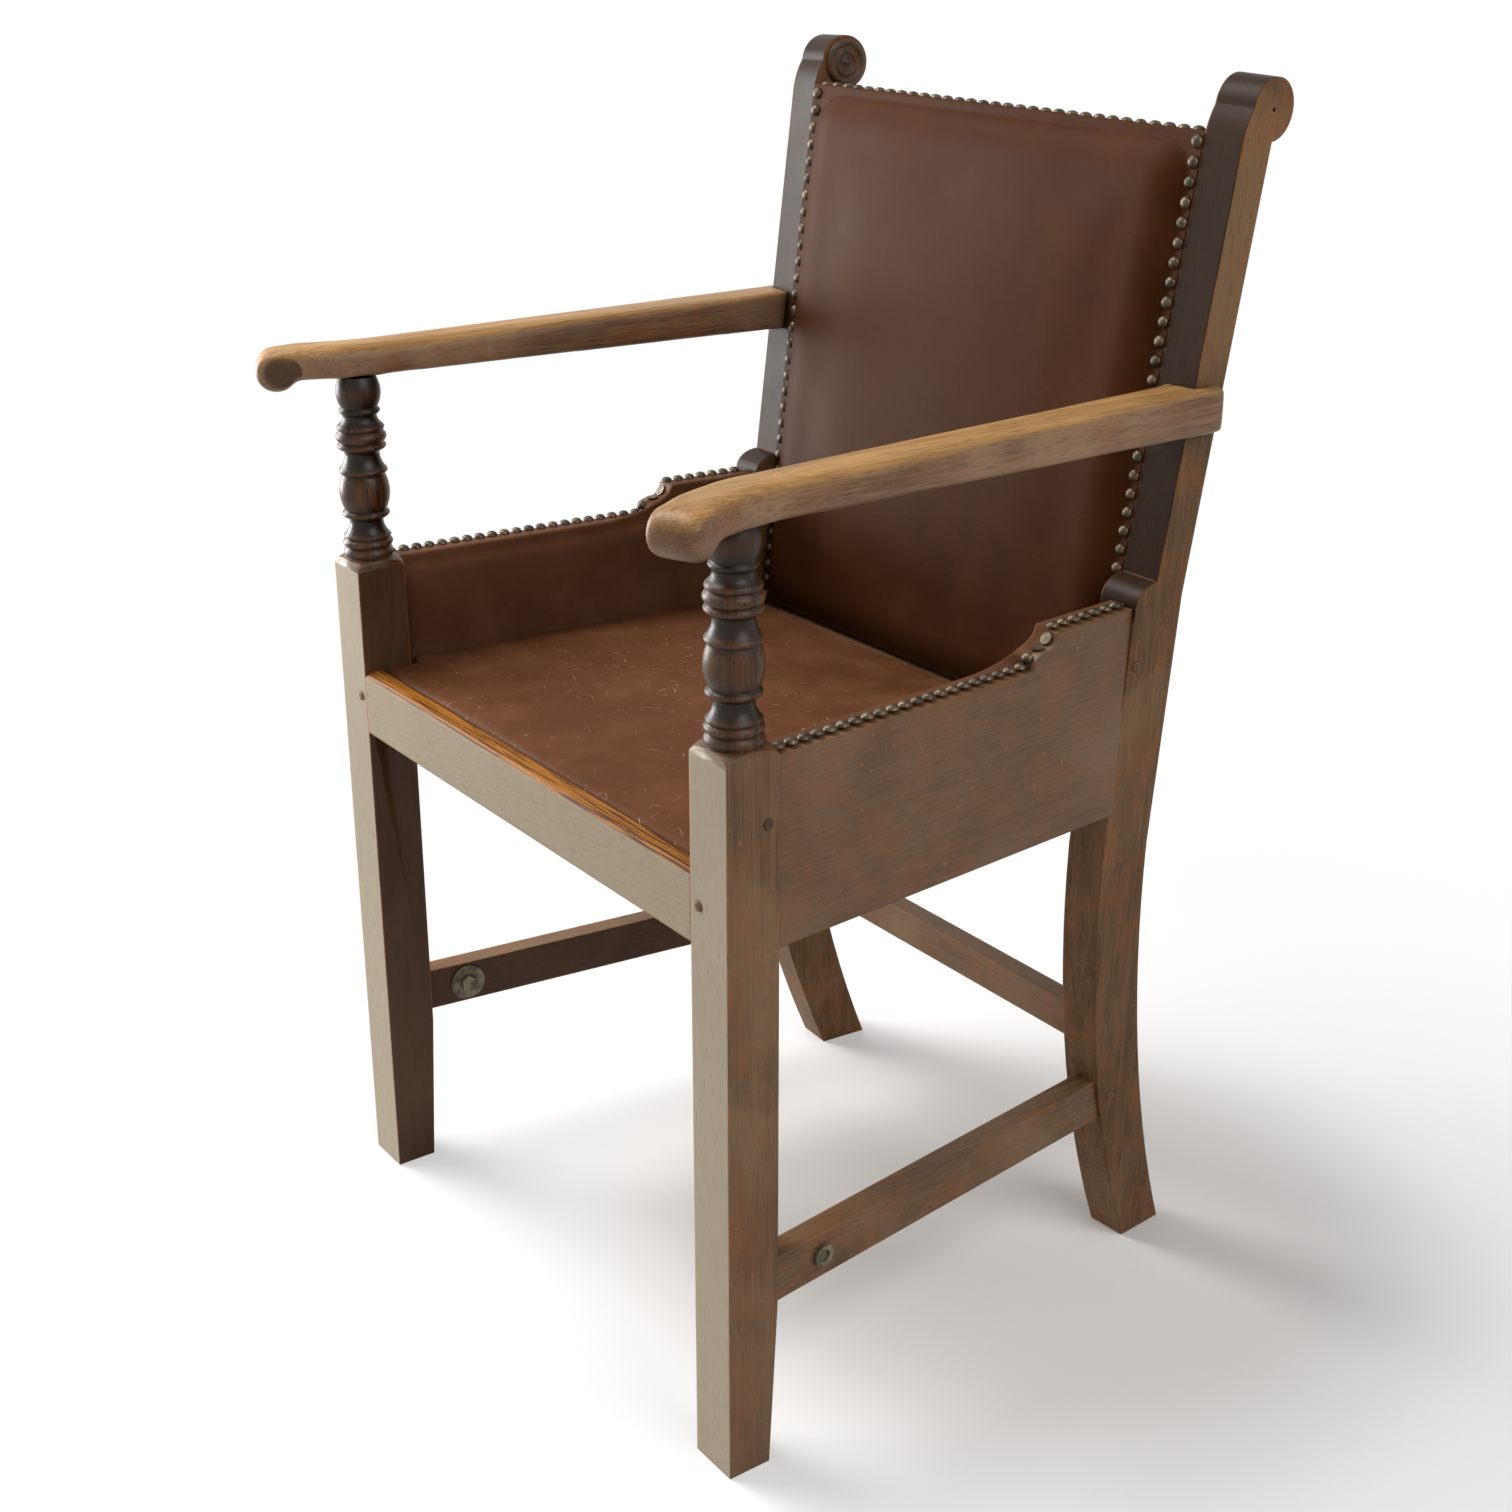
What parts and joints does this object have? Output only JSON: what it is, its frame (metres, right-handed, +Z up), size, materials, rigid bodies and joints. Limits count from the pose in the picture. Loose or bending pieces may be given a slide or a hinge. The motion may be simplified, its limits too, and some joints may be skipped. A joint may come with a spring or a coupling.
{
  "type": "open armchair",
  "caption": "Open-arm chair of dark oak with turned arm supports, outswept rolled arms, scrolled back posts, a nailed leather back and a drop-in leather seat.",
  "frame": {"origin": "on the floor, at the middle of the chair's footprint box", "axes": "+Z up, -Y the way the sitter faces, +X the sitter's left"},
  "size_m": [0.597, 0.5464, 0.9253],
  "materials": {
    "dark_oak": "waxed, aged",
    "worn_oak": "worn satin",
    "plain_oak": "unfinished",
    "chestnut_leather": "satin",
    "brass_nails": "tarnished",
    "iron_hardware": "aged",
    "jute": "woven",
    "horsehair": "matted"
  },
  "bodies": {
    "chair": {"arm_left": "worn_oak", "arm_right": "worn_oak", "back_bottom_rail": "plain_oak", "back_hessian": "jute", "back_leather": "chestnut_leather", "back_nailing_strip_left": "plain_oak", "back_nailing_strip_right": "plain_oak", "back_side_nails_left": "brass_nails", "back_side_nails_right": "brass_nails", "back_stuffing": "horsehair", "back_top_nails": "brass_nails", "back_top_rail": "plain_oak", "back_webbing": "jute", "front_leg_left": "dark_oak", "front_leg_right": "dark_oak", "front_rail": "dark_oak", "joint_pegs_left": "dark_oak", "joint_pegs_right": "dark_oak", "outside_back_leather": "chestnut_leather", "outside_back_nails": "brass_nails", "panel_nails_left": "brass_nails", "panel_nails_right": "brass_nails", "rear_cleat": "plain_oak", "rear_post_left": "dark_oak", "rear_post_right": "dark_oak", "rear_seat_rail": "dark_oak", "rear_stretcher": "dark_oak", "scroll_roundel_left": "dark_oak", "scroll_roundel_right": "dark_oak", "side_cleat_left": "plain_oak", "side_cleat_right": "plain_oak", "side_lining_leather_left": "chestnut_leather", "side_lining_leather_right": "chestnut_leather", "side_lining_pad_left": "horsehair", "side_lining_pad_right": "horsehair", "side_panel_left": "dark_oak", "side_panel_right": "dark_oak", "side_stretcher_left": "dark_oak", "side_stretcher_right": "dark_oak", "stretcher_bolts": "iron_hardware", "stretcher_nuts": "iron_hardware", "stretcher_washers": "iron_hardware"},
    "seat": {"seat_cross_webbing": "jute", "seat_frame_front": "plain_oak", "seat_frame_rear": "plain_oak", "seat_frame_side_left": "plain_oak", "seat_frame_side_right": "plain_oak", "seat_hessian": "jute", "seat_leather": "chestnut_leather", "seat_long_webbing": "jute", "seat_stuffing": "horsehair"}
  },
  "joints": [
    {"name": "seat_lift", "type": "slide", "parent": "chair", "child": "seat", "axis": [0, 0, 1], "range_m": [0, 0.12]}
  ]
}
